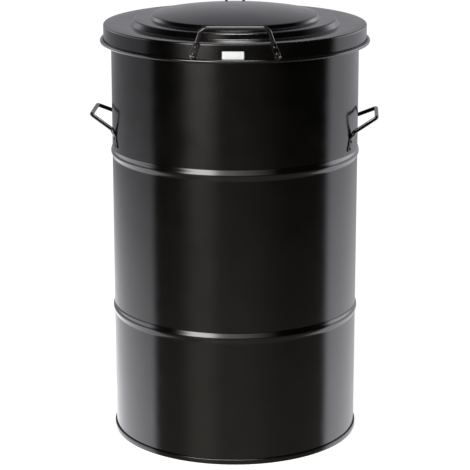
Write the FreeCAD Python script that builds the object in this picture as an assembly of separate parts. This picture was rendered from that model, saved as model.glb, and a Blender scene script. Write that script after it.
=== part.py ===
import FreeCAD, Part
import os
from math import asin, atan, cos, degrees, pi, radians, sin, tan

# A round sheet-steel refuse can with a hinged lid, in millimetres.
# +Z is up, +X is to the right, and -Y is the front, where the lid's handle is.
# The origin is the centre of the foot ring, on the floor.

Vector = FreeCAD.Vector
UP = Vector(0, 0, 1)

# ---- driving dimensions ----------------------------------------------------

# Sheet and clearances
sheet = 0.9                 # body, base and lid are pressed and rolled from one gauge
layer_gap = 0.12            # between the folded layers of the foot seam
wire_gap = 0.10             # between a wire and the edge that is curled round it
lid_seat_gap = 0.30         # under the lid, where it lies on the rim
hinge_clearance = 0.05      # radial, between the hinge bar and its eye
hole_clearance = 0.05       # radial, between a rivet's shank and its holes
toe_gap = 0.10              # between the lid handle's toes and the curled edge they lie on
rivet_seat_gap = 0.15       # between a rivet's flat inner head and the curved sheet

# Body
body_radius = 250.0         # outside of the plain wall
body_height = 850.0         # floor to the top of the rim
lower_bead_height = 263.5   # floor to the bead's middle
upper_bead_drop = 257.5     # rim to the bead's middle
bead_width = 24.0
bead_depth = 3.0
rim_wire_diameter = 6.0
foot_seam_height = 10.6
seam_angle = 118.0          # the wall's welded side seam, degrees from +X, at the back
seam_width = 6.0
seam_proud = 0.35
seam_end_gap = 3.5          # between the side seam and the foot seam or the rim's curl

# Base
base_recess = 16.0          # floor to the underside of the base
base_ring_margin = 60.0     # from the wall in to the pressed step that stiffens the base
base_ring_step = 4.0
base_ring_run = 6.0         # the step's slope, measured level
base_ring_bend = 4.0
base_corner_bend = 3.0

# Lid
skirt_gap = 7.2             # between the rim's curl and the skirt
skirt_drop = 37.8           # from the lid's top edge to the bottom of its curl
lid_wire_diameter = 5.8
border_width = 53.8         # from the skirt in to the foot of the first riser
border_dish = 2.0           # how far the border falls on the way
riser_run = 8.4             # the first riser's slope, measured level
step_height = 10.0          # from the lid's top edge to the step between the risers
step_width = 32.5
crown_riser_run = 4.5
crown_edge_height = 18.0
crown_rise = 15.0           # from the crown's edge to its middle
crown_land = 8.0            # left straight at each end of the crown's arc
lid_top_bends = [3.0, 3.5, 5.0, 4.0, 2.5]   # from the crown's edge out to the lid's edge

# Handles, all of one round bar with its ends hammered flat
bar_diameter = 8.0
foot_width = 12.5
foot_thickness = 3.0
taper_length = 9.0          # from the flat foot to the round bar
handle_rivet_margin = 5.0   # from the upper rivet to the taper

side_handle_turn = -3.3     # degrees; the pair stands a little off square to the hinge
side_grip_stand = 37.5      # from the wall to the middle of the bar
side_grip_rise = 61.5       # from the foot's end up to the middle of the bar
side_grip_half = 50.0       # from the middle to the corner of the bar
side_foot_length = 26.0
side_foot_gap = 3.0         # between the upper bead and the foot's end
side_foot_offset = 96.0     # round the wall, from the handle's middle to the foot's end
side_foot_lean = 22.0       # degrees from upright, towards the handle's middle
side_leg_bend = 9.0
side_grip_bend = 10.0

lid_grip_inset = 2.2        # from the skirt in to the middle of the bar
lid_grip_rise = 29.5        # above the lid's top edge
lid_grip_half = 63.0
lid_grip_bend = 14.0
lid_foot_length = 25.0
lid_foot_offset = 82.0
lid_foot_lean = 20.0
lid_leg_bend = 20.0
lid_toe_length = 6.5        # the foot's toe is dressed out over the curled edge
lid_toe_angle = 60.0
lid_toe_bend = 3.0
lid_foot_lift = 3.4         # from the top of the curl to the foot's end

# Hinge
hinge_bar_drop = 13.7       # from the bottom of the lid's curl to the hinge bar
hinge_wire_diameter = 6.0
hinge_leg_gap = 2.0         # between the upright legs and the lid's curl, which they pass
hinge_side_gap = 1.0        # between the leaf and the bends at the bar's ends
hinge_bar_bend = 6.5
hinge_elbow_bend = 8.0
hinge_arch_rise = 25.0      # from the lid's top edge to the middle of the wire
hinge_arch_depth = 23.5     # from the outer to the inner legs
hinge_foot_bend = 6.0
hinge_foot_run = 2.0        # straight wire between that bend and the taper
hinge_taper_length = 7.0
hinge_foot_width = 11.0
hinge_foot_thickness = 2.4
hinge_foot_length = 25.0
hinge_foot_gap = 0.1        # between the arm's feet and the lid's border
hinge_rivet_margin = 6.0    # from the taper to the first rivet
leaf_width = 22.0
leaf_thickness = 2.0
leaf_bend = 4.0
leaf_foot_length = 38.0
leaf_joggle = 6.0           # height of the step from the wall out to the eye
leaf_neck = 2.0             # straight strap between that step and the eye
leaf_eye_gap = 0.6          # between the rolled end and the strap
leaf_wall_gap = 2.95        # between the eye and the wall

# Rivets
rivet_radius = 2.0
rivet_head_radius = 3.6
rivet_head_height = 1.9
rivet_tail_radius = 3.2
rivet_tail_height = 1.3
rivet_tail_chamfer = 0.5
drill_overrun = 4.0         # how far a drill runs past both faces
handle_rivet_spacing = 14.5
hinge_rivet_spacing = 13.0
leaf_rivet_spacing = 19.0

# Label: a plain white sticker
label_width = 41.6
label_height = 15.5
label_thickness = 0.25
label_offset = -3.8         # round the skirt, from the middle of the front
label_top = 14.2            # below the lid's top edge
label_corner = 1.5
label_seat_gap = 0.03

# ---- dimensions that follow from them ---------------------------------------

half = sheet / 2
wall = body_radius - half                       # middle of the body's sheet
bead_heights = (lower_bead_height, body_height - upper_bead_drop)
rim_curl = rim_wire_diameter / 2 + wire_gap + half
rim_curl_radius = wall + rim_curl
rim_curl_height = body_height - half - rim_curl

skirt_radius = rim_curl_radius + rim_curl + half + skirt_gap + sheet
lid_wall = skirt_radius - half                  # middle of the skirt's sheet
border_slope = border_dish / border_width
lid_edge = body_height + lid_seat_gap + sheet + border_slope * (skirt_radius - rim_curl_radius)
lid_curl = lid_wire_diameter / 2 + wire_gap + half
lid_curl_radius = lid_wall + lid_curl
lid_curl_height = lid_edge - skirt_drop + half + lid_curl

wire_half = hinge_wire_diameter / 2
eye = wire_half + hinge_clearance + leaf_thickness / 2      # middle radius of the leaf's eye
hinge_y = body_radius + leaf_wall_gap + eye + leaf_thickness / 2
hinge_z = lid_edge - skirt_drop - hinge_bar_drop
leg_x = leaf_width / 2 + hinge_side_gap + hinge_bar_bend
leg_y = lid_curl_radius + lid_curl + half + hinge_leg_gap + wire_half
inner_leg_y = leg_y - hinge_arch_depth


# ---- shared operations ------------------------------------------------------

def corner_arc(before, corner, after, radius):
    """Start, middle and end of the arc of this radius that rounds a corner."""
    along = (corner - before).normalize()
    onward = (after - corner).normalize()
    turn = along.getAngle(onward)
    inward = (onward - along).normalize()
    centre = corner + inward * (radius / cos(turn / 2))
    reach = radius * tan(turn / 2)
    return corner - along * reach, centre - inward * radius, corner + onward * reach


def rounded_path(points, radii):
    """Edges through the points, with each inner corner rounded to its radius."""
    edges = []
    start = points[0]
    for before, corner, after, radius in zip(points, points[1:], points[2:], radii):
        first, middle, last = corner_arc(before, corner, after, radius)
        if start.distanceToPoint(first) > 1e-6:
            edges.append(Part.makeLine(start, first))
        edges.append(Part.Arc(first, middle, last).toShape())
        start = last
    if start.distanceToPoint(points[-1]) > 1e-6:
        edges.append(Part.makeLine(start, points[-1]))
    return edges


def shifted_path(points, radii, shift, across):
    """The same path, moved sideways by shift, with its radii to suit.

    across is the normal of the plane that the path lies in.
    """
    sides = []
    for start, end in zip(points, points[1:]):
        sides.append(across.cross(end - start).normalize())
    moved = [points[0] + sides[0] * shift]
    new_radii = []
    for corner, side, next_side, radius in zip(points[1:], sides, sides[1:], radii):
        mitre = (side + next_side) / (1 + side.dot(next_side))
        moved.append(corner + mitre * shift)
        left_turn = side.cross(next_side).dot(across) > 0
        new_radii.append(radius - shift if left_turn else radius + shift)
    moved.append(points[-1] + sides[-1] * shift)
    return moved, new_radii


def strip_face(points, radii, low, high, across):
    """Face between two parallels of a path, such as the section of a bent sheet."""
    low_points, low_radii = shifted_path(points, radii, low, across)
    high_points, high_radii = shifted_path(points, radii, high, across)
    edges = rounded_path(low_points, low_radii)
    edges.append(Part.makeLine(low_points[-1], high_points[-1]))
    edges += rounded_path(high_points[::-1], high_radii[::-1])
    edges.append(Part.makeLine(high_points[0], low_points[0]))
    return Part.Face(Part.Wire(edges))


def section_points(pairs):
    """Points of a section at the right of the axis, from (radius, height) pairs."""
    return [Vector(radius, 0, height) for radius, height in pairs]


def turned_sheet(pairs, radii):
    """A sheet whose middle line is the section, turned about the axis."""
    face = strip_face(section_points(pairs), radii, -half, half, Vector(0, 1, 0))
    return face.revolve(Vector(), UP, 360)


def round_bar(points, radii, diameter):
    """A round bar bent along a path."""
    path = Part.Wire(rounded_path(points, radii))
    start = points[0]
    ring = Part.makeCircle(diameter / 2, start, points[1] - start)
    return path.makePipeShell([Part.Wire(ring)], True, False)


def flat_outline(centre, wide, thick, width, thickness):
    """A flattened bar's outline: two flats and two round edges."""
    edge = thickness / 2
    flat = (width - thickness) / 2
    signs = ((-1, 1), (1, 1), (1, -1), (-1, -1))
    corners = [centre + wide * (flat * a) + thick * (edge * b) for a, b in signs]
    right = centre + wide * (width / 2)
    left = centre - wide * (width / 2)
    return Part.Wire([
        Part.makeLine(corners[0], corners[1]),
        Part.Arc(corners[1], right, corners[2]).toShape(),
        Part.makeLine(corners[2], corners[3]),
        Part.Arc(corners[3], left, corners[0]).toShape(),
    ])


def round_outline(centre, wide, thick, diameter):
    """A circle in four arcs, to match flat_outline edge for edge."""
    radius = diameter / 2
    rim = []
    for degree in range(135, -226, -45):
        angle = radians(degree)
        rim.append(centre + wide * (radius * cos(angle)) + thick * (radius * sin(angle)))
    return Part.Wire([Part.Arc(rim[i], rim[i + 1], rim[i + 2]).toShape() for i in (0, 2, 4, 6)])


def rivet(seat, axis, stack):
    """A rivet with its head on the seat and its tail behind a stack of this thickness."""
    shoulder = -stack - rivet_seat_gap
    tail = shoulder - rivet_tail_height
    dome = (rivet_head_radius ** 2 + rivet_head_height ** 2) / (2 * rivet_head_height)
    middle = asin(rivet_head_radius / dome) / 2
    head_arc = Part.Arc(
        Vector(rivet_head_radius, 0, 0),
        Vector(dome * sin(middle), 0, rivet_head_height - dome + dome * cos(middle)),
        Vector(0, 0, rivet_head_height),
    )
    corners = section_points([
        (0, tail),
        (rivet_tail_radius - rivet_tail_chamfer, tail),
        (rivet_tail_radius, tail + rivet_tail_chamfer),
        (rivet_tail_radius, shoulder),
        (rivet_radius, shoulder),
        (rivet_radius, 0),
        (rivet_head_radius, 0),
    ])
    edges = [Part.makeLine(a, b) for a, b in zip(corners, corners[1:])]
    edges.append(head_arc.toShape())
    edges.append(Part.makeLine(Vector(0, 0, rivet_head_height), corners[0]))
    body = Part.Face(Part.Wire(edges)).revolve(Vector(), UP, 360)
    body.Placement = FreeCAD.Placement(seat, FreeCAD.Rotation(UP, axis))
    return body


def drill(seat, axis, stack):
    """The hole that a rivet passes through."""
    start = seat - axis * (stack + drill_overrun)
    return Part.makeCylinder(rivet_radius + hole_clearance, stack + 2 * drill_overrun, start, axis)


def fused(pieces):
    return pieces[0].fuse(pieces[1:]).removeSplitter()


# ---- sheet-metal shells -------------------------------------------------------

def bead_corners(height):
    """Corners of one rolled bead on the wall's middle line, and their radii."""
    slope = 2 * atan(bead_depth / (bead_width / 2))
    radius = bead_width / (4 * sin(slope))
    run = bead_width / 2 - radius * tan(slope / 2)
    peak = run * tan(slope)
    corners = [(wall, height - run), (wall + peak, height), (wall, height + run)]
    return corners, [radius] * 3


def curl_corners(start, height, size, up):
    """Corners of an edge that is curled outwards round a wire at this height.

    start is the radius of the wall's middle line, size the curl's middle radius, and up
    is 1 for a rim that curls over its top and -1 for a skirt that curls under.
    """
    centre = start + size
    corners = [
        (start, height + up * size),
        (centre + size, height + up * size),
        (centre + size, height - up * size),
        (centre - size * tan(pi / 8), height - up * size),
        (centre - size * sin(pi / 4), height - up * size * cos(pi / 4)),
    ]
    return corners, [size] * 4


def wall_path():
    """The wall between the foot seam and the rim curl, with its beads."""
    corners = []
    radii = []
    for height in bead_heights:
        bead, bead_radii = bead_corners(height)
        corners += bead
        radii += bead_radii
    return corners, radii


# The foot seam hooks the wall's edge into the base's edge. From inside to outside its
# five layers are the base's wall, the body, the base's hook, the body's hook and the
# base's outer fold.
layer_pitch = sheet + layer_gap
fold = layer_pitch                              # middle radius of a fold round one layer
base_wall = wall - layer_pitch
base_hook = wall + layer_pitch
body_hook = wall + 2 * layer_pitch
seam_outer = wall + 3 * layer_pitch
body_turn_height = half + layer_pitch
base_turn_height = foot_seam_height - half

beads, bead_radii = wall_path()
hook_top = base_turn_height - fold - layer_gap
body_corners = [(body_hook, hook_top), (body_hook, body_turn_height), (wall, body_turn_height)]
rim, rim_radii = curl_corners(wall, rim_curl_height, rim_curl, 1)
body_shell = turned_sheet(body_corners + beads + rim, [fold, fold] + bead_radii + rim_radii)

# The side seam is a welded lap, which stands a little proud of the wall over its height.
seam_low = foot_seam_height + seam_end_gap
seam_high = rim_curl_height - rim_curl - seam_end_gap
seam_path = section_points([(wall, seam_low)] + beads + [(wall, seam_high)])
seam_face = strip_face(seam_path, bead_radii, 0, half + seam_proud, Vector(0, 1, 0))
seam_turn = degrees(seam_width / body_radius)
side_seam = seam_face.revolve(Vector(), UP, seam_turn)
side_seam.rotate(Vector(), UP, seam_angle - seam_turn / 2)
body_shell = fused([body_shell, side_seam])

rim_wire = Part.makeTorus(rim_curl_radius, rim_wire_diameter / 2, Vector(0, 0, rim_curl_height))

base_level = base_recess + half
base_ring_radius = body_radius - base_ring_margin
base_pan = turned_sheet(
    [
        (0, base_level + base_ring_step),
        (base_ring_radius - base_ring_run / 2, base_level + base_ring_step),
        (base_ring_radius + base_ring_run / 2, base_level),
        (base_wall, base_level),
        (base_wall, half),
        (seam_outer, half),
        (seam_outer, base_turn_height),
        (base_hook, base_turn_height),
        (base_hook, body_turn_height + fold + layer_gap),
    ],
    [base_ring_bend, base_ring_bend, base_corner_bend, fold, fold, fold, fold],
)

channel_radius = skirt_radius - border_width
step_radius = channel_radius - riser_run
crown_foot_radius = step_radius - step_width
crown_radius = crown_foot_radius - crown_riser_run
crown_top = lid_edge + crown_edge_height + crown_rise - half
crown_slope = atan(crown_rise / (crown_radius / 2))
crown_curve = (crown_radius / 2 - crown_land) / tan(crown_slope / 2)
lid_top = [
    (0, crown_top),
    (crown_radius / 2, crown_top),
    (crown_radius, crown_top - crown_rise),
    (crown_foot_radius, lid_edge + step_height - half),
    (step_radius, lid_edge + step_height - half),
    (channel_radius, lid_edge - border_dish - half),
    (lid_wall, lid_edge - half),
]
edge, edge_radii = curl_corners(lid_wall, lid_curl_height, lid_curl, -1)
lid_panel = turned_sheet(lid_top + edge, [crown_curve] + lid_top_bends + edge_radii)
lid_rim_wire = Part.makeTorus(lid_curl_radius, lid_wire_diameter / 2, Vector(0, 0, lid_curl_height))


# ---- handles --------------------------------------------------------------------

handle_stack = foot_thickness + sheet


def bar_handle(radius, foot_height, foot_length, offset, lean, bends, grip, toe):
    """A bent bar handle on the +X side of a drum, and the seats and axes of its rivets.

    bends are the radii where the legs leave the wall and at the grip's corners.
    grip is the reach, half length and height of the bar between the legs.
    toe is the length, angle and bend of the foot's turned-out end, or None.
    """
    lean = radians(lean)
    angle = (offset - sin(lean) * foot_length / 2) / radius     # of the foot's middle
    out = Vector(cos(angle), -sin(angle), 0)
    round_wall = Vector(sin(angle), cos(angle), 0)
    rise = UP * cos(lean) + round_wall * sin(lean)
    wide = rise.cross(out).normalize()
    foot_middle = out * radius + UP * (foot_height + cos(lean) * foot_length / 2)
    foot_end = foot_middle - rise * (foot_length / 2)

    flat_start = foot_end + out * (foot_thickness / 2)
    flat_end = flat_start + rise * foot_length
    points = [flat_start, flat_end]
    radii = []
    if toe:
        toe_length, toe_angle, toe_bend = toe
        droop = out * sin(radians(toe_angle)) - rise * cos(radians(toe_angle))
        points.insert(0, flat_start + droop * toe_length)
        radii = [toe_bend]
    flat_path = Part.Wire(rounded_path(points, radii))
    tangent = (points[1] - points[0]).normalize()
    thick = tangent.cross(wide).normalize()
    section = flat_outline(points[0], wide, thick, foot_width, foot_thickness)
    foot = flat_path.makePipeShell([section], True, False)

    round_start = foot_end + rise * (foot_length + taper_length) + out * (bar_diameter / 2)
    taper = Part.makeLoft(
        [
            flat_outline(flat_end, wide, out, foot_width, foot_thickness),
            round_outline(round_start, wide, out, bar_diameter),
        ],
        True,
    )

    leg_bend, grip_bend = bends
    reach, half_length, height = grip
    knee = round_start + rise * (leg_bend / 2)
    corner = Vector(reach, -half_length, height)
    middle = Vector(reach, 0, height)
    bar = round_bar([round_start, knee, corner, middle], [leg_bend, grip_bend], bar_diameter)

    seats = []
    upper = foot_length - handle_rivet_margin
    for distance in (upper - handle_rivet_spacing, upper):
        seats.append(foot_end + rise * distance + out * foot_thickness)
    for seat in seats:
        foot = foot.cut(drill(seat, out, handle_stack))
    near_half = fused([foot, taper, bar])
    far_half = near_half.mirror(Vector(), Vector(0, 1, 0))
    joints = [(seat, out) for seat in seats]
    joints += [(Vector(p.x, -p.y, p.z), Vector(n.x, -n.y, n.z)) for p, n in joints]
    return fused([near_half, far_half]), joints


def turned(shape, angle):
    copy = shape.copy()
    copy.rotate(Vector(), UP, angle)
    return copy


def turned_joints(joints, angle):
    turn = FreeCAD.Rotation(UP, angle)
    return [(turn.multVec(seat), turn.multVec(axis)) for seat, axis in joints]


parts = {}

side_foot_height = bead_heights[1] + bead_width / 2 + side_foot_gap
side_handle, side_joints = bar_handle(
    body_radius,
    side_foot_height,
    side_foot_length,
    side_foot_offset,
    side_foot_lean,
    (side_leg_bend, side_grip_bend),
    (body_radius + side_grip_stand, side_grip_half, side_foot_height + side_grip_rise),
    None,
)
for name, angle in (("right", side_handle_turn), ("left", 180 + side_handle_turn)):
    parts[name + "_handle"] = turned(side_handle, angle)
    for number, (seat, axis) in enumerate(turned_joints(side_joints, angle), 1):
        body_shell = body_shell.cut(drill(seat, axis, handle_stack))
        parts["%s_handle_rivet_%d" % (name, number)] = rivet(seat, axis, handle_stack)

lid_foot_height = lid_curl_height + lid_curl + half + lid_foot_lift
lid_handle, lid_joints = bar_handle(
    skirt_radius,
    lid_foot_height,
    lid_foot_length,
    lid_foot_offset,
    lid_foot_lean,
    (lid_leg_bend, lid_grip_bend),
    (skirt_radius - lid_grip_inset, lid_grip_half, lid_edge + lid_grip_rise),
    (lid_toe_length, lid_toe_angle, lid_toe_bend),
)
curl_room = Part.makeTorus(lid_curl_radius, lid_curl + half + toe_gap, Vector(0, 0, lid_curl_height))
parts["lid_handle"] = turned(lid_handle, -90).cut(curl_room)
for number, (seat, axis) in enumerate(turned_joints(lid_joints, -90), 1):
    lid_panel = lid_panel.cut(drill(seat, axis, handle_stack))
    parts["lid_handle_rivet_%d" % number] = rivet(seat, axis, handle_stack)


# ---- hinge ------------------------------------------------------------------------

# The arm is one wire. Its bar turns in the leaf's eye, its legs go round the lid's curl
# and arch over the edge, and its flattened ends are riveted to the lid's border.
border = atan(border_slope)
inward = Vector(0, -cos(border), -sin(border))
border_up = Vector(0, -sin(border), cos(border))
foot_y = inner_leg_y - hinge_foot_bend - hinge_foot_run
foot_root = Vector(leg_x, foot_y, lid_edge - border_slope * (skirt_radius - foot_y))
foot_root = foot_root + border_up * hinge_foot_gap
wire_end = foot_root + border_up * wire_half
flat_root = foot_root + inward * hinge_taper_length + border_up * (hinge_foot_thickness / 2)
arch_z = lid_edge + hinge_arch_rise
heel = wire_end - inward * (inner_leg_y - foot_y) / cos(border)
arm_wire = round_bar(
    [
        Vector(0, hinge_y, hinge_z),
        Vector(leg_x, hinge_y, hinge_z),
        Vector(leg_x, leg_y, hinge_z),
        Vector(leg_x, leg_y, arch_z),
        Vector(leg_x, inner_leg_y, arch_z),
        heel,
        wire_end,
    ],
    [hinge_bar_bend, hinge_elbow_bend, hinge_arch_depth / 2, hinge_arch_depth / 2, hinge_foot_bend],
    hinge_wire_diameter,
)
across = Vector(1, 0, 0)
arm_taper = Part.makeLoft(
    [
        round_outline(wire_end, across, border_up, hinge_wire_diameter),
        flat_outline(flat_root, across, border_up, hinge_foot_width, hinge_foot_thickness),
    ],
    True,
)
foot_section = flat_outline(flat_root, across, border_up, hinge_foot_width, hinge_foot_thickness)
arm_foot = Part.Face(foot_section).extrude(inward * hinge_foot_length)
arm_stack = hinge_foot_thickness + sheet + hinge_foot_gap
arm_seats = []
for distance in (hinge_rivet_margin, hinge_rivet_margin + hinge_rivet_spacing):
    arm_seats.append(flat_root + inward * distance + border_up * (hinge_foot_thickness / 2))
for seat in arm_seats:
    arm_foot = arm_foot.cut(drill(seat, border_up, arm_stack))
arm_half = fused([arm_wire, arm_taper, arm_foot])
parts["hinge_arm"] = fused([arm_half, arm_half.mirror(Vector(), across)])
arm_seats += [Vector(-seat.x, seat.y, seat.z) for seat in arm_seats]
for number, seat in enumerate(arm_seats, 1):
    lid_panel = lid_panel.cut(drill(seat, border_up, arm_stack))
    parts["hinge_arm_rivet_%d" % number] = rivet(seat, border_up, arm_stack)

# The leaf is a strap with its end rolled into an eye round the arm's bar.
leaf_y = body_radius + leaf_thickness / 2
eye_y = hinge_y - eye
joggle_top = hinge_z - eye - leaf_neck
foot_top = joggle_top - leaf_joggle
leaf_points = [
    Vector(0, leaf_y, foot_top - leaf_foot_length),
    Vector(0, leaf_y, foot_top),
    Vector(0, eye_y, joggle_top),
    Vector(0, eye_y, hinge_z + eye),
    Vector(0, hinge_y + eye, hinge_z + eye),
    Vector(0, hinge_y + eye, hinge_z - eye),
    Vector(0, eye_y + leaf_thickness / 2 + leaf_eye_gap, hinge_z - eye),
]
leaf_bends = [leaf_bend, leaf_bend, eye, eye, eye]
leaf_face = strip_face(leaf_points, leaf_bends, -leaf_thickness / 2, leaf_thickness / 2, across)
leaf_face.translate(Vector(-leaf_width / 2, 0, 0))
hinge_leaf = leaf_face.extrude(Vector(leaf_width, 0, 0))
leaf_stack = leaf_thickness + sheet
back = Vector(0, 1, 0)
leaf_middle = foot_top - leaf_foot_length / 2
for number, side in enumerate((-1, 1), 1):
    seat = Vector(0, body_radius + leaf_thickness, leaf_middle + side * leaf_rivet_spacing / 2)
    hinge_leaf = hinge_leaf.cut(drill(seat, back, leaf_stack))
    body_shell = body_shell.cut(drill(seat, back, leaf_stack))
    parts["hinge_leaf_rivet_%d" % number] = rivet(seat, back, leaf_stack)
parts["hinge_leaf"] = hinge_leaf

# ---- label ------------------------------------------------------------------------

label_turn = degrees(label_width / skirt_radius)
label_low = lid_edge - label_top - label_height
label_back = skirt_radius + label_seat_gap
label_front = label_back + label_thickness
label_section = section_points([
    (label_back, label_low),
    (label_front, label_low),
    (label_front, label_low + label_height),
    (label_back, label_low + label_height),
    (label_back, label_low),
])
label = Part.Face(Part.makePolygon(label_section)).revolve(Vector(), UP, label_turn)
corners = [edge for edge in label.Edges if edge.Length < 2 * label_thickness]
label = label.makeFillet(label_corner, corners)
label.rotate(Vector(), UP, -90 - label_turn / 2 + degrees(label_offset / skirt_radius))
parts["lid_label"] = label

parts["body_shell"] = body_shell
parts["rim_wire"] = rim_wire
parts["base_pan"] = base_pan
parts["lid_panel"] = lid_panel
parts["lid_rim_wire"] = lid_rim_wire

os.makedirs("parts", exist_ok=True)
for name, shape in parts.items():
    shape.exportStep("parts/%s.step" % name)
    box = shape.BoundBox
    print("%-24s solids %d valid %s volume %.1f z %.1f to %.1f" % (
        name, len(shape.Solids), shape.isValid(), shape.Volume, box.ZMin, box.ZMax))
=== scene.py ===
from math import cos, pi, radians, sin

import bpy
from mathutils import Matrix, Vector


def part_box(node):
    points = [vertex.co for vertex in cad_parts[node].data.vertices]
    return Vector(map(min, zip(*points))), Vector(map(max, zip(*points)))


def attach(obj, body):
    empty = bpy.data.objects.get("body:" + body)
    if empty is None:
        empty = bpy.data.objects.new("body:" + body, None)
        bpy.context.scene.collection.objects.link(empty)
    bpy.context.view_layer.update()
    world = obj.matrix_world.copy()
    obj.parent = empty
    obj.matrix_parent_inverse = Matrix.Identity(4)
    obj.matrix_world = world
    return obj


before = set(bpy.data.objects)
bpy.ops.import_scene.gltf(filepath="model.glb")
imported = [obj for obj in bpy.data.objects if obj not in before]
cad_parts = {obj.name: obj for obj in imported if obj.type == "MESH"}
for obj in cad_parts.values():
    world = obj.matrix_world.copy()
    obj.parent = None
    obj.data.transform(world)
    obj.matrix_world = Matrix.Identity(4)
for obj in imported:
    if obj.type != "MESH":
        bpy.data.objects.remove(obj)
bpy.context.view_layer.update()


# ---- Wall: body_shell ------------------------------------------------------------
# The wall is one rolled sheet of galvanized steel with a welded side seam, two rolled
# beads and a rim curled over a wire. It was powder coated black after it was made up.

MM = 0.001


def linear(colour):
    """An sRGB hex colour as linear RGBA."""
    channels = []
    for start in (1, 3, 5):
        value = int(colour[start:start + 2], 16) / 255
        channels.append(value / 12.92 if value <= 0.04045 else ((value + 0.055) / 1.055) ** 2.4)
    return (*channels, 1.0)


def add_node(tree, kind, inputs=None, **settings):
    """A node with its settings, its inputs' values and the links into it."""
    node = tree.nodes.new(kind)
    for name, value in settings.items():
        setattr(node, name, value)
    for socket, value in (inputs or {}).items():
        if isinstance(value, bpy.types.NodeSocket):
            tree.links.new(value, node.inputs[socket])
        else:
            node.inputs[socket].default_value = value
    return node


def new_material(name):
    """An empty material and its node tree."""
    material = bpy.data.materials.new(name)
    material.use_nodes = True
    material.node_tree.nodes.clear()
    return material, material.node_tree


def finish_with(material, *nodes):
    """Give CAD nodes their only material."""
    for name in nodes:
        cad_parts[name].data.materials.clear()
        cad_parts[name].data.materials.append(material)


COAT_DARK = "#040403"
COAT_LIGHT = "#090807"


def powder_coat(name, roughness, peel_mm, peel_height_mm, wave_mm, wave_height_mm):
    """Black powder coat: a hard semi-gloss skin with a faint orange peel over wavy steel.

    The peel mostly breaks up the edges of reflections. The waves bend the long ones that
    run up the wall, as they do on thin rolled sheet. A real peel of 1 to 3 mm would not
    show from this far, so it is drawn about twice as coarse.
    """
    material, tree = new_material(name)
    place = add_node(tree, "ShaderNodeTexCoord").outputs["Object"]
    cloud = add_node(tree, "ShaderNodeTexNoise", {
        "Vector": place,
        "Scale": 1 / (60 * MM),
        "Detail": 4.0,
    })
    tint = add_node(tree, "ShaderNodeValToRGB", {"Fac": cloud.outputs["Fac"]})
    tint.color_ramp.elements[0].position = 0.35
    tint.color_ramp.elements[0].color = linear(COAT_DARK)
    tint.color_ramp.elements[1].position = 0.65
    tint.color_ramp.elements[1].color = linear(COAT_LIGHT)
    haze = add_node(tree, "ShaderNodeTexNoise", {
        "Vector": place,
        "Scale": 1 / (35 * MM),
        "Detail": 6.0,
    })
    dull = add_node(tree, "ShaderNodeMapRange", {
        "Value": haze.outputs["Fac"],
        "From Min": 0.3,
        "From Max": 0.7,
        "To Min": roughness - 0.02,
        "To Max": roughness + 0.03,
    })
    waves = add_node(tree, "ShaderNodeTexNoise", {
        "Vector": place,
        "Scale": 1 / (wave_mm * MM),
        "Detail": 1.0,
    })
    wavy = add_node(tree, "ShaderNodeBump", {
        "Height": waves.outputs["Fac"],
        "Distance": wave_height_mm * MM,
        "Strength": 1.0,
    })
    peel = add_node(tree, "ShaderNodeTexNoise", {
        "Vector": place,
        "Scale": 1 / (peel_mm * MM),
        "Detail": 2.0,
    })
    skin = add_node(tree, "ShaderNodeBump", {
        "Height": peel.outputs["Fac"],
        "Distance": peel_height_mm * MM,
        "Strength": 1.0,
        "Normal": wavy.outputs["Normal"],
    })
    paint = add_node(tree, "ShaderNodeBsdfPrincipled", {
        "Base Color": tint.outputs["Color"],
        "Roughness": dull.outputs["Result"],
        "Normal": skin.outputs["Normal"],
        "IOR": 1.5,
    })
    output = add_node(tree, "ShaderNodeOutputMaterial", {"Surface": paint.outputs["BSDF"]})
    return material, tree, place, paint, output


def add_relief(tree, paint, height, distance):
    """Lay another relief over the normal that the paint already has."""
    relief = add_node(tree, "ShaderNodeBump", {
        "Height": height,
        "Distance": distance,
        "Strength": 1.0,
        "Normal": paint.inputs["Normal"].links[0].from_socket,
    })
    tree.links.new(relief.outputs["Normal"], paint.inputs["Normal"])


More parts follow.
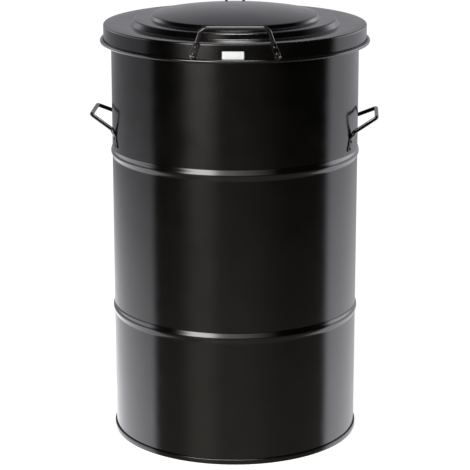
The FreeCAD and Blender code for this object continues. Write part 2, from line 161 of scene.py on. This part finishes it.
def even_ring_normals():
    """Shading normals evened out round each ring of a turned sheet's mesh.

    The facets of a small bend differ a little from one to the next, which breaks a thin
    highlight into dashes. Every corner takes the mean of its ring, weighted by area. Rings
    are told apart by their radius and height, counted in steps.
    """
    group = bpy.data.node_groups.new("even_ring_normals", "GeometryNodeTree")
    group.interface.new_socket("Sheet", in_out="INPUT", socket_type="NodeSocketGeometry")
    step = group.interface.new_socket("Ring step", in_out="INPUT", socket_type="NodeSocketFloat")
    step.default_value = 0.05 * MM
    group.interface.new_socket("Sheet", in_out="OUTPUT", socket_type="NodeSocketGeometry")
    given = add_node(group, "NodeGroupInput")
    point = add_node(group, "GeometryNodeInputPosition").outputs[0]
    place = add_node(group, "ShaderNodeSeparateXYZ", {0: point})
    level = add_node(group, "ShaderNodeCombineXYZ", {
        "X": place.outputs["X"],
        "Y": place.outputs["Y"],
    }).outputs[0]
    out = add_node(group, "ShaderNodeVectorMath", {0: level}, operation="NORMALIZE").outputs[0]
    radius = add_node(group, "ShaderNodeVectorMath", {0: level}, operation="LENGTH")

    counts = []
    for value in (radius.outputs["Value"], place.outputs["Z"]):
        steps = add_node(group, "ShaderNodeMath", {0: value, 1: given.outputs["Ring step"]},
                         operation="DIVIDE")
        counts.append(add_node(group, "FunctionNodeFloatToInt", {0: steps.outputs[0]},
                               rounding_mode="ROUND").outputs[0])
    most_height_steps = 20000
    ring = add_node(group, "FunctionNodeIntegerMath", {
        0: counts[0],
        1: most_height_steps,
        2: counts[1],
    }, operation="MULTIPLY_ADD").outputs[0]

    normal = add_node(group, "ShaderNodeVectorMath", {
        0: add_node(group, "GeometryNodeInputNormal").outputs[0],
        "Scale": add_node(group, "GeometryNodeInputMeshFaceArea").outputs[0],
    }, operation="SCALE").outputs[0]
    outward = add_node(group, "ShaderNodeVectorMath", {0: normal, 1: out},
                       operation="DOT_PRODUCT")
    upward = add_node(group, "ShaderNodeSeparateXYZ", {0: normal})
    totals = []
    for value in (outward.outputs["Value"], upward.outputs["Z"]):
        totals.append(add_node(group, "GeometryNodeAccumulateField", {
            "Value": value,
            "Group ID": ring,
        }, data_type="FLOAT", domain="CORNER").outputs["Total"])
    across = add_node(group, "ShaderNodeVectorMath", {0: out, "Scale": totals[0]},
                      operation="SCALE")
    rise = add_node(group, "ShaderNodeCombineXYZ", {"Z": totals[1]})
    total = add_node(group, "ShaderNodeVectorMath", {0: across.outputs[0], 1: rise.outputs[0]},
                     operation="ADD")
    mean = add_node(group, "ShaderNodeVectorMath", {0: total.outputs[0]}, operation="NORMALIZE")
    smooth = add_node(group, "GeometryNodeSetMeshNormal", mode="FREE", domain="CORNER")
    group.links.new(given.outputs["Sheet"], smooth.inputs["Mesh"])
    group.links.new(mean.outputs[0], smooth.inputs["Custom Normal"])
    add_node(group, "NodeGroupOutput", {0: smooth.outputs[0]})
    return group


even_normals = even_ring_normals()


def smooth_rings(name):
    """Even out the shading of a turned CAD node."""
    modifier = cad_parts[name].modifiers.new("even_normals", "NODES")
    modifier.node_group = even_normals


wall_coat, tree, place, paint, _ = powder_coat(
    "black_powder_coat_on_rolled_sheet", roughness=0.15,
    peel_mm=5, peel_height_mm=0.012, wave_mm=110, wave_height_mm=0.3)
# Faint level streaks from the rolls, about 7 mm apart and 120 mm long.
stretched = add_node(tree, "ShaderNodeVectorMath", {
    0: place,
    1: (1 / (120 * MM), 1 / (120 * MM), 1 / (7 * MM)),
}, operation="MULTIPLY")
streaks = add_node(tree, "ShaderNodeTexNoise", {
    "Vector": stretched.outputs[0],
    "Scale": 1.0,
    "Detail": 2.0,
})
add_relief(tree, paint, streaks.outputs["Fac"], 0.025 * MM)
finish_with(wall_coat, "body_shell")
smooth_rings("body_shell")


# ---- Side seam spots: weld_spots -------------------------------------------------
# The wall's lap seam is closed by a row of electric welding spots. The coat has filled
# them in, so that they show as low round swellings up the back of the wall.

def weld_spot_tree(finish):
    """A row of low domes seated on the wall, by rays cast at it towards its axis."""
    group = bpy.data.node_groups.new("weld_spots", "GeometryNodeTree")
    sockets = group.interface
    sockets.new_socket("Geometry", in_out="INPUT", socket_type="NodeSocketGeometry")
    sockets.new_socket("Wall", in_out="INPUT", socket_type="NodeSocketObject")
    for name, kind, value in (
        ("Turn", "NodeSocketFloat", radians(118)),
        ("Low", "NodeSocketFloat", 20 * MM),
        ("Pitch", "NodeSocketFloat", 14 * MM),
        ("Spot radius", "NodeSocketFloat", 1.9 * MM),
        ("Spot height", "NodeSocketFloat", 0.35 * MM),
        ("Jitter", "NodeSocketFloat", 0.5 * MM),
        ("Count", "NodeSocketInt", 57),
        ("Seed", "NodeSocketInt", 4),
    ):
        sockets.new_socket(name, in_out="INPUT", socket_type=kind).default_value = value
    sockets.new_socket("Geometry", in_out="OUTPUT", socket_type="NodeSocketGeometry")

    # A column of points clear of the wall, each shaken a little.
    given = add_node(group, "NodeGroupInput")
    cosine = add_node(group, "ShaderNodeMath", {0: given.outputs["Turn"]}, operation="COSINE")
    sine = add_node(group, "ShaderNodeMath", {0: given.outputs["Turn"]}, operation="SINE")
    out = add_node(group, "ShaderNodeCombineXYZ", {
        "X": cosine.outputs[0],
        "Y": sine.outputs[0],
    }).outputs[0]
    inward = add_node(group, "ShaderNodeVectorMath", {0: out, "Scale": -1.0}, operation="SCALE")
    clear = add_node(group, "ShaderNodeVectorMath", {0: out, "Scale": 300 * MM},
                     operation="SCALE")
    low = add_node(group, "ShaderNodeCombineXYZ", {"Z": given.outputs["Low"]})
    start = add_node(group, "ShaderNodeVectorMath", {0: clear.outputs[0], 1: low.outputs[0]},
                     operation="ADD")
    pitch = add_node(group, "ShaderNodeCombineXYZ", {"Z": given.outputs["Pitch"]})
    line = add_node(group, "GeometryNodeMeshLine", {
        "Count": given.outputs["Count"],
        "Start Location": start.outputs[0],
        "Offset": pitch.outputs[0],
    }, mode="OFFSET")
    least = add_node(group, "ShaderNodeMath", {0: given.outputs["Jitter"], 1: -1.0},
                     operation="MULTIPLY")
    shake = add_node(group, "FunctionNodeRandomValue", {
        "Min": least.outputs[0],
        "Max": given.outputs["Jitter"],
        "Seed": given.outputs["Seed"],
    }, data_type="FLOAT_VECTOR")
    shaken = add_node(group, "GeometryNodeSetPosition", {
        "Geometry": line.outputs[0],
        "Offset": shake.outputs[0],
    })

    # Each point moves in to the wall and carries a dome that faces out of it.
    wall = add_node(group, "GeometryNodeObjectInfo", {"Object": given.outputs["Wall"]})
    hit = add_node(group, "GeometryNodeRaycast", {
        "Target Geometry": wall.outputs["Geometry"],
        "Source Position": add_node(group, "GeometryNodeInputPosition").outputs[0],
        "Ray Direction": inward.outputs[0],
        "Ray Length": 100 * MM,
    })
    seated = add_node(group, "GeometryNodeSetPosition", {
        "Geometry": shaken.outputs[0],
        "Position": hit.outputs["Hit Position"],
    })
    facing = add_node(group, "FunctionNodeAlignRotationToVector", {
        "Vector": hit.outputs["Hit Normal"],
    }, axis="Z")
    size = add_node(group, "ShaderNodeCombineXYZ", {
        "X": given.outputs["Spot radius"],
        "Y": given.outputs["Spot radius"],
        "Z": given.outputs["Spot height"],
    })
    dome = add_node(group, "GeometryNodeMeshIcoSphere", {"Radius": 1.0, "Subdivisions": 3})
    spots = add_node(group, "GeometryNodeInstanceOnPoints", {
        "Points": seated.outputs[0],
        "Instance": dome.outputs[0],
        "Rotation": facing.outputs[0],
        "Scale": size.outputs[0],
    })
    real = add_node(group, "GeometryNodeRealizeInstances", {"Geometry": spots.outputs[0]})
    smooth = add_node(group, "GeometryNodeSetShadeSmooth", {"Geometry": real.outputs[0]})
    painted = add_node(group, "GeometryNodeSetMaterial", {
        "Geometry": smooth.outputs[0],
        "Material": finish,
    })
    add_node(group, "NodeGroupOutput", {0: painted.outputs[0]})
    return group


spot_coat, *_ = powder_coat(
    "black_powder_coat_on_weld_spots", roughness=0.2,
    peel_mm=2.4, peel_height_mm=0.02, wave_mm=6, wave_height_mm=0.05)
maker = bpy.data.objects.new("weld_spot_maker", bpy.data.meshes.new("weld_spot_maker"))
bpy.context.scene.collection.objects.link(maker)
modifier = maker.modifiers.new("spots", "NODES")
modifier.node_group = weld_spot_tree(spot_coat)
for socket in modifier.node_group.interface.items_tree:
    if socket.name == "Wall":
        modifier[socket.identifier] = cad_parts["body_shell"]
evaluated = maker.evaluated_get(bpy.context.evaluated_depsgraph_get())
made = bpy.data.meshes.new_from_object(evaluated)
bpy.data.objects.remove(maker)
weld_spots = bpy.data.objects.new("weld_spots", made)
bpy.context.scene.collection.objects.link(weld_spots)
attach(weld_spots, "body")


# ---- Base: base_pan --------------------------------------------------------------
# The base is pressed from the same sheet and folded to the wall in a double seam, which
# is the foot ring. It carries the same coat, scuffed through to the zinc under the foot.

base_coat, tree, place, paint, output = powder_coat(
    "black_powder_coat_on_pressed_base", roughness=0.15,
    peel_mm=5, peel_height_mm=0.012, wave_mm=90, wave_height_mm=0.2)
height = add_node(tree, "ShaderNodeSeparateXYZ", {0: place}).outputs["Z"]
scuffs = add_node(tree, "ShaderNodeTexNoise", {
    "Vector": place,
    "Scale": 1 / (9 * MM),
    "Detail": 8.0,
    "Roughness": 0.7,
})
under = add_node(tree, "ShaderNodeMapRange", {
    "Value": height,
    "From Min": 0.1 * MM,
    "From Max": 1.6 * MM,
    "To Min": 0.42,
    "To Max": -0.1,
})
worn = add_node(tree, "ShaderNodeMath", {0: scuffs.outputs["Fac"], 1: under.outputs[0]},
                operation="ADD")
bare = add_node(tree, "ShaderNodeMapRange", {
    "Value": worn.outputs[0],
    "From Min": 0.78,
    "From Max": 0.86,
    "To Min": 0.0,
    "To Max": 1.0,
})
zinc = add_node(tree, "ShaderNodeBsdfPrincipled", {
    "Base Color": linear("#8f9496"),
    "Metallic": 1.0,
    "Roughness": 0.45,
})
scuffed = add_node(tree, "ShaderNodeMixShader", {
    0: bare.outputs[0],
    1: paint.outputs["BSDF"],
    2: zinc.outputs["BSDF"],
})
tree.links.new(scuffed.outputs[0], output.inputs["Surface"])
finish_with(base_coat, "base_pan")
smooth_rings("base_pan")


# ---- Lid: lid_panel --------------------------------------------------------------
# The lid is one deep pressing of the same sheet: a crown, two steps, a border and a skirt
# whose edge is curled over a wire. The border's outer part falls away slightly to the
# edge, where the press drew the skirt down.

lid_coat, tree, place, paint, _ = powder_coat(
    "black_powder_coat_on_pressed_lid", roughness=0.15,
    peel_mm=5, peel_height_mm=0.012, wave_mm=120, wave_height_mm=0.35)
parts = add_node(tree, "ShaderNodeSeparateXYZ", {0: place})
level = add_node(tree, "ShaderNodeCombineXYZ", {
    "X": parts.outputs["X"],
    "Y": parts.outputs["Y"],
})
radius = add_node(tree, "ShaderNodeVectorMath", {0: level.outputs[0]}, operation="LENGTH")
outward = add_node(tree, "ShaderNodeMapRange", {
    "Value": radius.outputs["Value"],
    "From Min": 222 * MM,
    "From Max": 262 * MM,
    "To Min": 0.0,
    "To Max": 1.0,
})
fall = add_node(tree, "ShaderNodeMath", {0: outward.outputs[0], 1: 2.0}, operation="POWER")
add_relief(tree, paint, fall.outputs[0], -1.5 * MM)
finish_with(lid_coat, "lid_panel")
smooth_rings("lid_panel")


# ---- Handles: left_handle, right_handle, lid_handle ------------------------------
# Three lengths of round bar with their ends hammered flat, riveted on before coating. The
# coat is glossier on the bar, and the feet keep the hammer's shallow facets.

def bar_coat(name, foot_top_mm):
    """The coat of a bar whose hammered feet end at a height in millimetres."""
    material, tree, place, paint, _ = powder_coat(
        name, roughness=0.12,
        peel_mm=3, peel_height_mm=0.004, wave_mm=16, wave_height_mm=0.03)
    height = add_node(tree, "ShaderNodeSeparateXYZ", {0: place}).outputs["Z"]
    facets = add_node(tree, "ShaderNodeTexVoronoi", {
        "Vector": place,
        "Scale": 1 / (4.5 * MM),
        "Smoothness": 0.6,
    }, feature="SMOOTH_F1")
    foot = add_node(tree, "ShaderNodeMapRange", {
        "Value": height,
        "From Min": (foot_top_mm - 4) * MM,
        "From Max": (foot_top_mm + 6) * MM,
        "To Min": 1.0,
        "To Max": 0.0,
    })
    hammered = add_node(tree, "ShaderNodeMath", {
        0: facets.outputs["Distance"],
        1: foot.outputs[0],
    }, operation="MULTIPLY")
    add_relief(tree, paint, hammered.outputs[0], 0.1 * MM)
    return material


side_handle_coat = bar_coat("black_powder_coat_on_side_handles", foot_top_mm=632)
lid_handle_coat = bar_coat("black_powder_coat_on_lid_handle", foot_top_mm=846)
finish_with(side_handle_coat, "left_handle", "right_handle")
finish_with(lid_handle_coat, "lid_handle")


# ---- Rivets ----------------------------------------------------------------------
# Steel rivets with domed heads, coated with the rest. The setting tool left their domes
# slightly uneven.

rivet_coat, *_ = powder_coat(
    "black_powder_coat_on_rivets", roughness=0.16,
    peel_mm=1.5, peel_height_mm=0.02, wave_mm=3, wave_height_mm=0.08)
finish_with(rivet_coat, *(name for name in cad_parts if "rivet" in name))


# ---- Hinge: hinge_leaf, hinge_arm ------------------------------------------------
# A bent wire arm on the lid turns in the rolled eye of a strap on the back of the wall.
# Turning has rubbed the bar bright beside the eye.

leaf_coat, *_ = powder_coat(
    "black_powder_coat_on_hinge_leaf", roughness=0.18,
    peel_mm=2.4, peel_height_mm=0.015, wave_mm=12, wave_height_mm=0.06)
finish_with(leaf_coat, "hinge_leaf")

arm_coat, tree, place, paint, output = powder_coat(
    "black_powder_coat_on_hinge_arm", roughness=0.15,
    peel_mm=2.4, peel_height_mm=0.015, wave_mm=12, wave_height_mm=0.06)
parts = add_node(tree, "ShaderNodeSeparateXYZ", {0: place})
aside = add_node(tree, "ShaderNodeMath", {0: parts.outputs["X"]}, operation="ABSOLUTE")
grit = add_node(tree, "ShaderNodeTexNoise", {
    "Vector": place,
    "Scale": 1 / (1.5 * MM),
    "Detail": 3.0,
})
# Within the eye's width, on the bar and not the uprights, and with a ragged edge.
rubbed = 1.0
for value, start, end, at_start, at_end in (
    (aside.outputs[0], 11.4 * MM, 12.6 * MM, 1.0, 0.0),
    (parts.outputs["Z"], 804 * MM, 806 * MM, 1.0, 0.0),
    (grit.outputs["Fac"], 0.35, 0.5, 0.0, 1.0),
):
    limit = add_node(tree, "ShaderNodeMapRange", {
        "Value": value,
        "From Min": start,
        "From Max": end,
        "To Min": at_start,
        "To Max": at_end,
    })
    rubbed = add_node(tree, "ShaderNodeMath", {0: rubbed, 1: limit.outputs[0]},
                      operation="MULTIPLY").outputs[0]
steel = add_node(tree, "ShaderNodeBsdfPrincipled", {
    "Base Color": linear("#9a9793"),
    "Metallic": 1.0,
    "Roughness": 0.32,
})
polished = add_node(tree, "ShaderNodeMixShader", {
    0: rubbed,
    1: paint.outputs["BSDF"],
    2: steel.outputs["BSDF"],
})
tree.links.new(polished.outputs[0], output.inputs["Surface"])
finish_with(arm_coat, "hinge_arm")


# ---- Wires: rim_wire, lid_rim_wire -----------------------------------------------
# Galvanized wires inside the curled edges, where the coat did not reach. Zinc gives them a
# grey spangle with a dull bloom.

galvanized, tree = new_material("galvanized_steel_wire")
place = add_node(tree, "ShaderNodeTexCoord").outputs["Object"]
spangle = add_node(tree, "ShaderNodeTexVoronoi", {"Vector": place, "Scale": 1 / (6 * MM)})
grain = add_node(tree, "ShaderNodeSeparateXYZ", {0: spangle.outputs["Color"]})
bloom = add_node(tree, "ShaderNodeTexNoise", {
    "Vector": place,
    "Scale": 1 / (12 * MM),
    "Detail": 5.0,
})
shade = add_node(tree, "ShaderNodeMath", {0: grain.outputs["X"], 1: bloom.outputs["Fac"]},
                 operation="MULTIPLY")
tint = add_node(tree, "ShaderNodeValToRGB", {"Fac": shade.outputs[0]})
tint.color_ramp.elements[0].position = 0.05
tint.color_ramp.elements[0].color = linear("#868b8d")
tint.color_ramp.elements[1].position = 0.55
tint.color_ramp.elements[1].color = linear("#b9bec0")
dull = add_node(tree, "ShaderNodeMapRange", {
    "Value": bloom.outputs["Fac"],
    "From Min": 0.3,
    "From Max": 0.7,
    "To Min": 0.32,
    "To Max": 0.5,
})
zinc = add_node(tree, "ShaderNodeBsdfPrincipled", {
    "Base Color": tint.outputs["Color"],
    "Metallic": 1.0,
    "Roughness": dull.outputs[0],
})
add_node(tree, "ShaderNodeOutputMaterial", {"Surface": zinc.outputs["BSDF"]})
finish_with(galvanized, "rim_wire", "lid_rim_wire")


# ---- Label: lid_label ------------------------------------------------------------
# A plain white vinyl sticker on the front of the skirt. The film is satin, lies over the
# coat's peel with a few low blisters, and is slightly soiled round its edge.

film, tree = new_material("white_vinyl_film")
place = add_node(tree, "ShaderNodeTexCoord").outputs["Object"]
parts = add_node(tree, "ShaderNodeSeparateXYZ", {0: place})
label_low, label_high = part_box("lid_label")
soiled_margin = 1.6 * MM
edges = []
for axis, low_side, high_side in (
    ("X", label_low[0], label_high[0]),
    ("Z", label_low[2], label_high[2]),
):
    offset = add_node(tree, "ShaderNodeMath", {
        0: parts.outputs[axis],
        1: (low_side + high_side) / 2,
    }, operation="SUBTRACT")
    apart = add_node(tree, "ShaderNodeMath", {0: offset.outputs[0]}, operation="ABSOLUTE")
    half_side = (high_side - low_side) / 2
    edges.append(add_node(tree, "ShaderNodeMapRange", {
        "Value": apart.outputs[0],
        "From Min": half_side - soiled_margin,
        "From Max": half_side,
        "To Min": 0.0,
        "To Max": 1.0,
    }).outputs[0])
edge = add_node(tree, "ShaderNodeMath", {0: edges[0], 1: edges[1]}, operation="MAXIMUM")
dirt = add_node(tree, "ShaderNodeTexNoise", {
    "Vector": place,
    "Scale": 1 / (3 * MM),
    "Detail": 5.0,
})
soiled = add_node(tree, "ShaderNodeMath", {0: edge.outputs[0], 1: dirt.outputs["Fac"]},
                  operation="MULTIPLY")
tint = add_node(tree, "ShaderNodeValToRGB", {"Fac": soiled.outputs[0]})
tint.color_ramp.elements[0].position = 0.1
tint.color_ramp.elements[0].color = linear("#edefed")
tint.color_ramp.elements[1].position = 0.7
tint.color_ramp.elements[1].color = linear("#b9bbb6")
blisters = add_node(tree, "ShaderNodeTexNoise", {
    "Vector": place,
    "Scale": 1 / (9 * MM),
    "Detail": 1.0,
})
raised = add_node(tree, "ShaderNodeMapRange", {
    "Value": blisters.outputs["Fac"],
    "From Min": 0.6,
    "From Max": 0.75,
    "To Min": 0.0,
    "To Max": 1.0,
}, interpolation_type="SMOOTHSTEP")
lifted = add_node(tree, "ShaderNodeBump", {
    "Height": raised.outputs[0],
    "Distance": 0.15 * MM,
    "Strength": 1.0,
})
vinyl = add_node(tree, "ShaderNodeBsdfPrincipled", {
    "Base Color": tint.outputs["Color"],
    "Roughness": 0.42,
    "Normal": lifted.outputs["Normal"],
})
add_node(tree, "ShaderNodeOutputMaterial", {"Surface": vinyl.outputs["BSDF"]})
finish_with(film, "lid_label")


# ---- Studio ----------------------------------------------------------------------
# A white floor without an edge and an even white surround. The coat mirrors the rest of
# the studio: a dark room in front, a tall white card at each side and the lit floor.

world = bpy.data.worlds.new("studio")
bpy.context.scene.world = world
world.use_nodes = True
studio = world.node_tree
studio.nodes.clear()
sky = add_node(studio, "ShaderNodeTexCoord").outputs["Generated"]
toward = add_node(studio, "ShaderNodeSeparateXYZ", {0: sky})
front = add_node(studio, "ShaderNodeMath", {0: toward.outputs["Y"], 1: -1.0},
                 operation="MULTIPLY")
turn = add_node(studio, "ShaderNodeMath", {0: toward.outputs["X"], 1: front.outputs[0]},
                operation="ARCTAN2")
rise = add_node(studio, "ShaderNodeMath", {0: toward.outputs["Z"]}, operation="ARCSINE")
# Both in degrees. The azimuth is 0 at the front and grows to the right of the photo.
azimuth = add_node(studio, "ShaderNodeMath", {0: turn.outputs[0]},
                   operation="DEGREES").outputs[0]
elevation = add_node(studio, "ShaderNodeMath", {0: rise.outputs[0]},
                     operation="DEGREES").outputs[0]


def degrees_from(centre):
    """How far a direction lies from an azimuth, to either side."""
    offset = add_node(studio, "ShaderNodeMath", {0: azimuth, 1: centre}, operation="SUBTRACT")
    return add_node(studio, "ShaderNodeMath", {0: offset.outputs[0]},
                    operation="ABSOLUTE").outputs[0]


def soft_patch(*ramps):
    """A soft-edged patch of the mirrored studio, as bright as the product of its ramps.

    A ramp is an angle, the degrees where it starts and ends, its level at each, and
    SMOOTHSTEP where it isn't straight.
    """
    brightness = 1.0
    for angle, start, end, at_start, at_end, *shape in ramps:
        ramp = add_node(studio, "ShaderNodeMapRange", {
            "Value": angle,
            "From Min": start,
            "From Max": end,
            "To Min": at_start,
            "To Max": at_end,
        }, interpolation_type=shape[0] if shape else "LINEAR")
        brightness = add_node(studio, "ShaderNodeMath", {0: brightness, 1: ramp.outputs[0]},
                              operation="MULTIPLY").outputs[0]
    return brightness


def card(edge, full, floor_level, middle_level, far_share):
    """The two patches of a tall card at one side: the floor and its middle, and its top.

    edge and full are the azimuths where the card begins and where it is fully bright. The
    levels are those of the floor below it and of its middle, and far_share is what is left
    behind the can. The bright top ends before it gets there.
    """
    side = 1 if full > 0 else -1
    begins = (azimuth, edge, full, 0.0, 1.0, "SMOOTHSTEP")
    share = soft_patch((elevation, -12.0, -9.0, 0.6 * far_share, far_share))
    behind = soft_patch((azimuth, side * 100.0, side * 150.0, 0.0, 1.0))
    lower = soft_patch(
        begins,
        (elevation, -21.5, -12.5, floor_level, middle_level),
        (azimuth, side * 105.0, side * 170.0, 1.0, share),
        (elevation, -60.0, -26.0, 0.15, 1.0),
        (elevation, 12.0, 50.0, 1.0, 0.35),
        (elevation, 18.0, 28.0, 1.0, behind),
    )
    upper = soft_patch(
        begins,
        (elevation, -6.0, 5.0, 0.0, 2.6, "SMOOTHSTEP"),
        (azimuth, side * 120.0, side * 160.0, 1.0, 0.0, "SMOOTHSTEP"),
        (elevation, 14.0, 25.0, 1.0, 0.0, "SMOOTHSTEP"),
    )
    return lower, upper


left_card = card(edge=-77.0, full=-87.0, floor_level=2.5, middle_level=0.5, far_share=1.0)
right_card = card(edge=90.0, full=102.0, floor_level=2.35, middle_level=1.45, far_share=0.35)

# The floor in front, the room's faint glow behind the camera and the light that spills
# from the key box's foot.
from_key = degrees_from(-32.0)
front_floor = soft_patch((elevation, -12.0, -21.0, 0.0, 0.27))
room = soft_patch(
    (degrees_from(-8.0), 10.0, 62.0, 1.0, 0.0, "SMOOTHSTEP"),
    (elevation, -15.0, -9.0, 0.16, 0.06),
)
spill = soft_patch(
    (from_key, 3.0, 22.0, 1.0, 0.0, "SMOOTHSTEP"),
    (elevation, -13.5, -10.5, 0.24, 0.9),
)

# The key box, brightest at its heart and fading to the right, and a box straight overhead.
key_height = (
    (elevation, -4.5, 0.5, 0.0, 11.5),
    (elevation, 34.0, 41.0, 1.0, 0.0),
)
heart = soft_patch(*key_height, (from_key, 7.0, 20.0, 0.8, 0.0, "SMOOTHSTEP"))
wing = soft_patch(
    *key_height,
    (azimuth, -36.0, 40.0, 0.3, 0.0),
    (azimuth, -55.0, -40.0, 0.0, 1.0),
)
overhead = soft_patch((elevation, 77.0, 82.0, 0.0, 26.0))

COOL = (0.985, 0.985, 1.05)
WARM = (1.07, 0.99, 0.9)
NEUTRAL = (1.0, 1.0, 1.0)
mirrored = (0.0, 0.0, 0.0)
for colour, patches in (
    (COOL, (*left_card, *right_card)),
    (WARM, (front_floor, room, spill)),
    (NEUTRAL, (heart, wing, overhead)),
):
    for patch in patches:
        glow = add_node(studio, "ShaderNodeVectorMath", {0: colour, "Scale": patch},
                        operation="SCALE")
        mirrored = add_node(studio, "ShaderNodeVectorMath", {0: mirrored, 1: glow.outputs[0]},
                            operation="ADD").outputs[0]

# White where the camera looks, the studio in reflections, and an even dim fill elsewhere.
# A vector Mix has its two sides at inputs 4 and 5 and its result at output 1.
FILL = (0.25, 0.25, 0.25)
WHITE = (1.0, 1.0, 1.0)
rays = add_node(studio, "ShaderNodeLightPath")
lighting = add_node(studio, "ShaderNodeMix", {
    0: rays.outputs["Is Glossy Ray"],
    4: FILL,
    5: mirrored,
}, data_type="VECTOR")
seen = add_node(studio, "ShaderNodeMath", {
    0: rays.outputs["Is Camera Ray"],
    1: rays.outputs["Is Transmission Ray"],
}, operation="MAXIMUM")
shown = add_node(studio, "ShaderNodeMix", {
    0: seen.outputs[0],
    4: lighting.outputs[1],
    5: WHITE,
}, data_type="VECTOR")
background = add_node(studio, "ShaderNodeBackground", {
    "Color": shown.outputs[1],
    "Strength": 1.0,
})
add_node(studio, "ShaderNodeOutputWorld", {"Surface": background.outputs["Background"]})

# The camera sees the floor a little lifted, so that it is white but for the can's shadow.
bpy.ops.mesh.primitive_circle_add(vertices=96, radius=20, fill_type="NGON")
floor = bpy.context.object
floor.name = "floor"
floor.visible_glossy = False
white, tree = new_material("white_floor")
rays = add_node(tree, "ShaderNodeLightPath")
lit = add_node(tree, "ShaderNodeBsdfDiffuse", {"Color": linear("#e6e6e6")})
pale = add_node(tree, "ShaderNodeBsdfDiffuse", {"Color": (0.6, 0.6, 0.6, 1)})
lift = add_node(tree, "ShaderNodeEmission", {"Strength": 0.86})
shadowed = add_node(tree, "ShaderNodeAddShader", {
    0: pale.outputs["BSDF"],
    1: lift.outputs["Emission"],
})
by_camera = add_node(tree, "ShaderNodeMixShader", {
    0: rays.outputs["Is Camera Ray"],
    1: lit.outputs["BSDF"],
    2: shadowed.outputs["Shader"],
})
add_node(tree, "ShaderNodeOutputMaterial", {"Surface": by_camera.outputs["Shader"]})
floor.data.materials.append(white)


def soft_box(name, azimuth, distance, height, width, tall, level):
    """A soft box that faces the can, at an azimuth in degrees from the front.

    level is its brightness, counted as the surround's is. Reflected rays pass it by,
    because its reflection is the one drawn in the surround.
    """
    lamp = bpy.data.lights.new(name, "AREA")
    lamp.shape = "RECTANGLE"
    lamp.size = width
    lamp.size_y = tall
    lamp.energy = level * pi * width * tall
    box = bpy.data.objects.new(name, lamp)
    bpy.context.scene.collection.objects.link(box)
    turn = radians(azimuth)
    middle_of_can = Vector((0, 0, 0.7))
    box.location = (distance * sin(turn), -distance * cos(turn), height)
    box.rotation_euler = (middle_of_can - box.location).to_track_quat("-Z", "Y").to_euler()
    box.visible_camera = False
    box.visible_glossy = False


soft_box("key", azimuth=-36.0, distance=3.1, height=1.62, width=1.2, tall=2.3, level=7.5)
soft_box("second", azimuth=3.0, distance=3.1, height=2.0, width=1.7, tall=1.9, level=2.0)


# ---- Camera ----------------------------------------------------------------------
# The photo's viewpoint: 3.9 m in front of the can's axis and 1.5 m above the floor, with
# the focal length in the photo's own pixels.

sensor = 36.0
focal_pixels = 1929.2
image_width = 470
looks_down = radians(14.578)
camera = bpy.data.cameras.new("camera")
camera.sensor_width = sensor
camera.lens = focal_pixels * sensor / image_width
camera.shift_y = -0.05
camera_object = bpy.data.objects.new("camera", camera)
bpy.context.scene.collection.objects.link(camera_object)
camera_object.location = (0, -3.855, 1.460)
camera_object.rotation_euler = (pi / 2 - looks_down, 0, 0)
bpy.context.scene.camera = camera_object
bpy.context.scene.view_settings.view_transform = "Standard"
